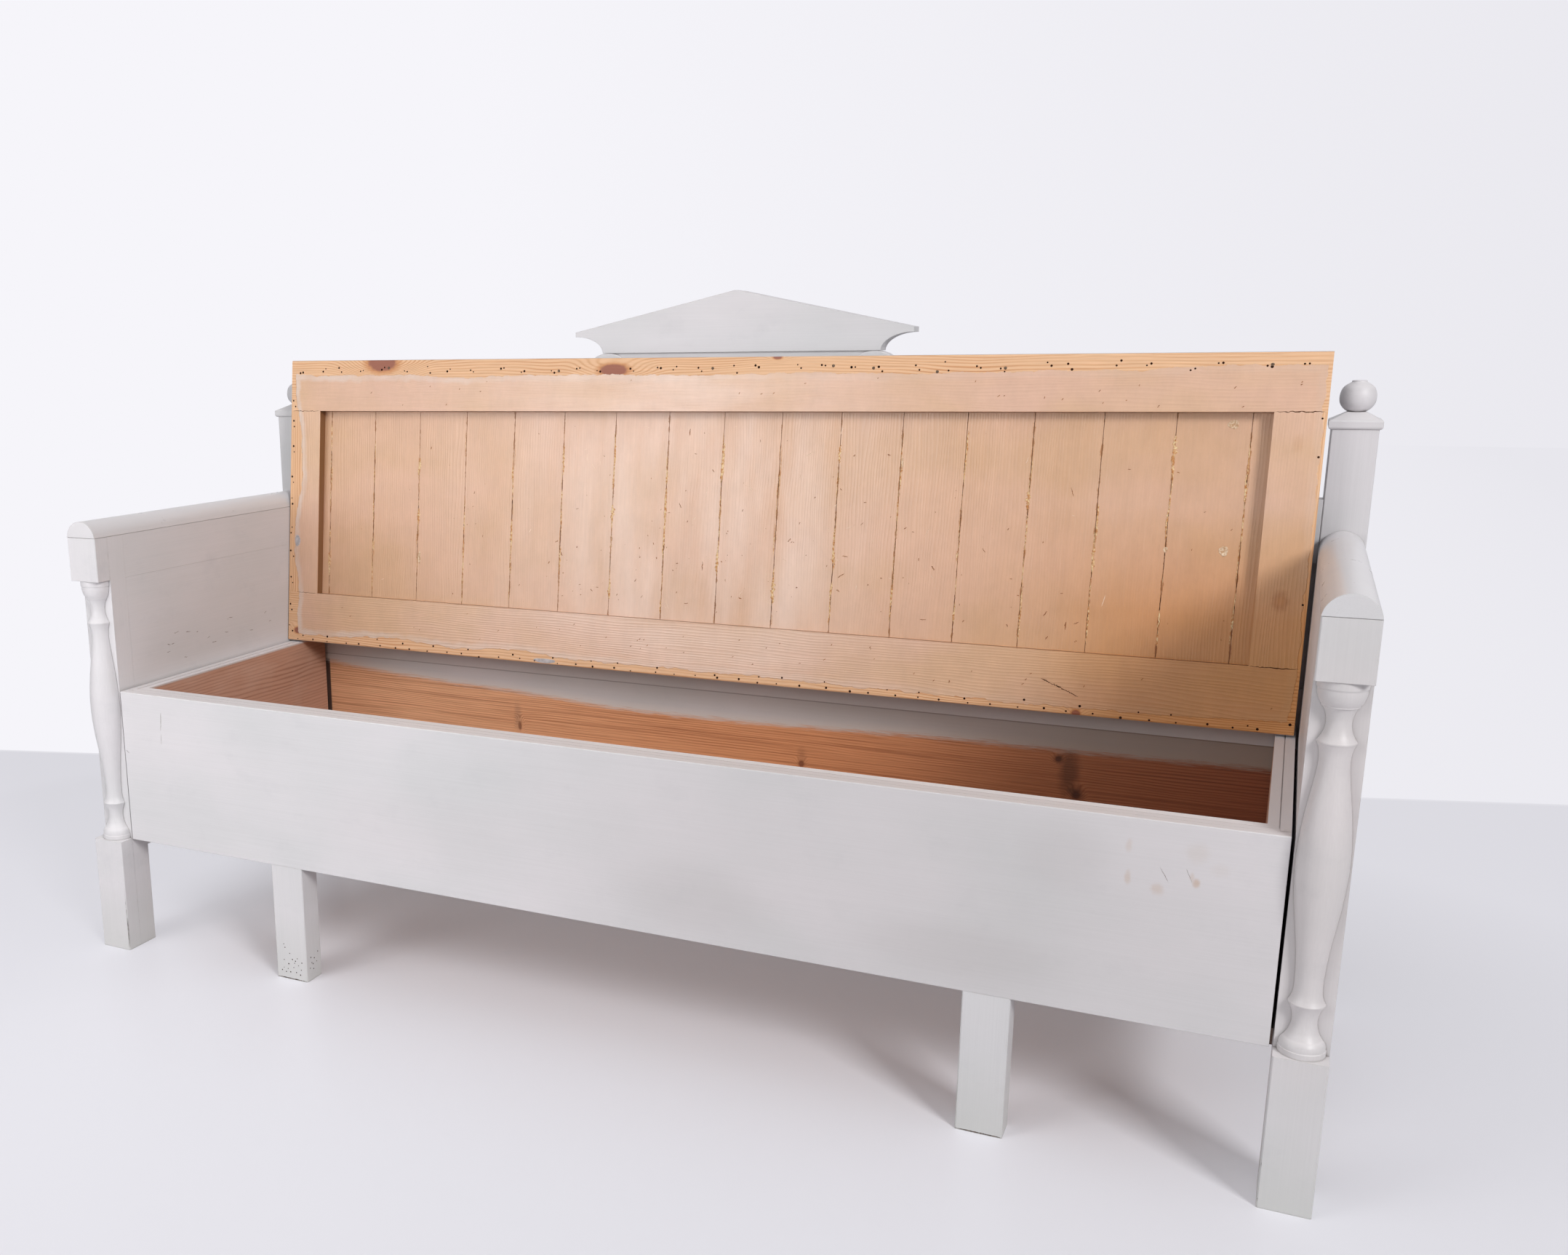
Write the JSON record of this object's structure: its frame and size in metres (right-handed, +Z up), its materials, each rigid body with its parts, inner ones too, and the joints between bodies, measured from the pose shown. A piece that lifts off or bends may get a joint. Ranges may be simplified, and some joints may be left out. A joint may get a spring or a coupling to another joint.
{
  "type": "pull-out bench bed",
  "caption": "Painted pine settle whose slatted box pulls forward to widen it into a bed; a loose boarded lid stands up against the crested back or lies flat as the seat.",
  "frame": {"origin": "on the floor, at the middle of the bench's outline seen from above", "axes": "+X along the bench towards the right end frame as seen from the front, +Y from the front to the back, +Z up"},
  "size_m": [1.908, 0.645, 1.1043],
  "materials": {
    "grey_paint": "old satin oil paint on pine, lightly worn",
    "underside_paint": "salmon oil paint on pine, bare along the outer edges",
    "bare_pine": "unpainted pine, aged red-brown"
  },
  "bodies": {
    "carcass": {"front_stile_left": "grey_paint", "front_stile_right": "grey_paint", "front_turning_left": "grey_paint", "front_turning_right": "grey_paint", "back_post_left": "grey_paint", "back_post_right": "grey_paint", "post_cap_left": "grey_paint", "post_cap_right": "grey_paint", "finial_left": "grey_paint", "finial_right": "grey_paint", "arm_rail_left": "grey_paint", "arm_rail_right": "grey_paint", "arm_cap_left": "grey_paint", "arm_cap_right": "grey_paint", "end_panel_left": "grey_paint", "end_panel_right": "grey_paint", "back_board_lower": "bare_pine", "back_board_upper": "bare_pine", "seat_rail": "grey_paint", "back_muntin": "grey_paint", "back_panel_left": "grey_paint", "back_panel_right": "grey_paint", "top_rail": "grey_paint", "crest_board": "grey_paint", "crest_disc_left": "grey_paint", "crest_disc_right": "grey_paint", "pediment": "grey_paint", "runner_left": "bare_pine", "runner_right": "bare_pine", "front_stretcher": "bare_pine", "fixed_slats": "bare_pine"},
    "box": {"box_front": "grey_paint", "box_liner": "grey_paint", "box_side_left": "grey_paint", "box_side_right": "grey_paint", "box_leg_left": "grey_paint", "box_leg_right": "grey_paint", "moving_slats": "bare_pine"},
    "lid": {"lid_rail_front": "underside_paint", "lid_rail_rear": "underside_paint", "lid_stile_left": "underside_paint", "lid_stile_right": "underside_paint", "lid_strip_left": "underside_paint", "lid_strip_right": "underside_paint", "lid_board_01": "underside_paint", "lid_board_02": "underside_paint", "lid_board_03": "underside_paint", "lid_board_04": "underside_paint", "lid_board_05": "underside_paint", "lid_board_06": "underside_paint", "lid_board_07": "underside_paint", "lid_board_08": "underside_paint", "lid_board_09": "underside_paint", "lid_board_10": "underside_paint", "lid_board_11": "underside_paint", "lid_board_12": "underside_paint", "lid_board_13": "underside_paint", "lid_board_14": "underside_paint", "lid_board_15": "underside_paint", "lid_board_16": "underside_paint"}
  },
  "joints": [
    {"name": "box_pull_out", "type": "slide", "parent": "carcass", "child": "box", "axis": [0, -1, 0], "range_m": [0, 0.44]},
    {"name": "lid_fold", "type": "hinge", "parent": "carcass", "child": "lid", "pos_m": [-0.0025, 0.1675, 0.46343], "axis": [1, 0, 0], "range_deg": [0, 96.6]}
  ]
}
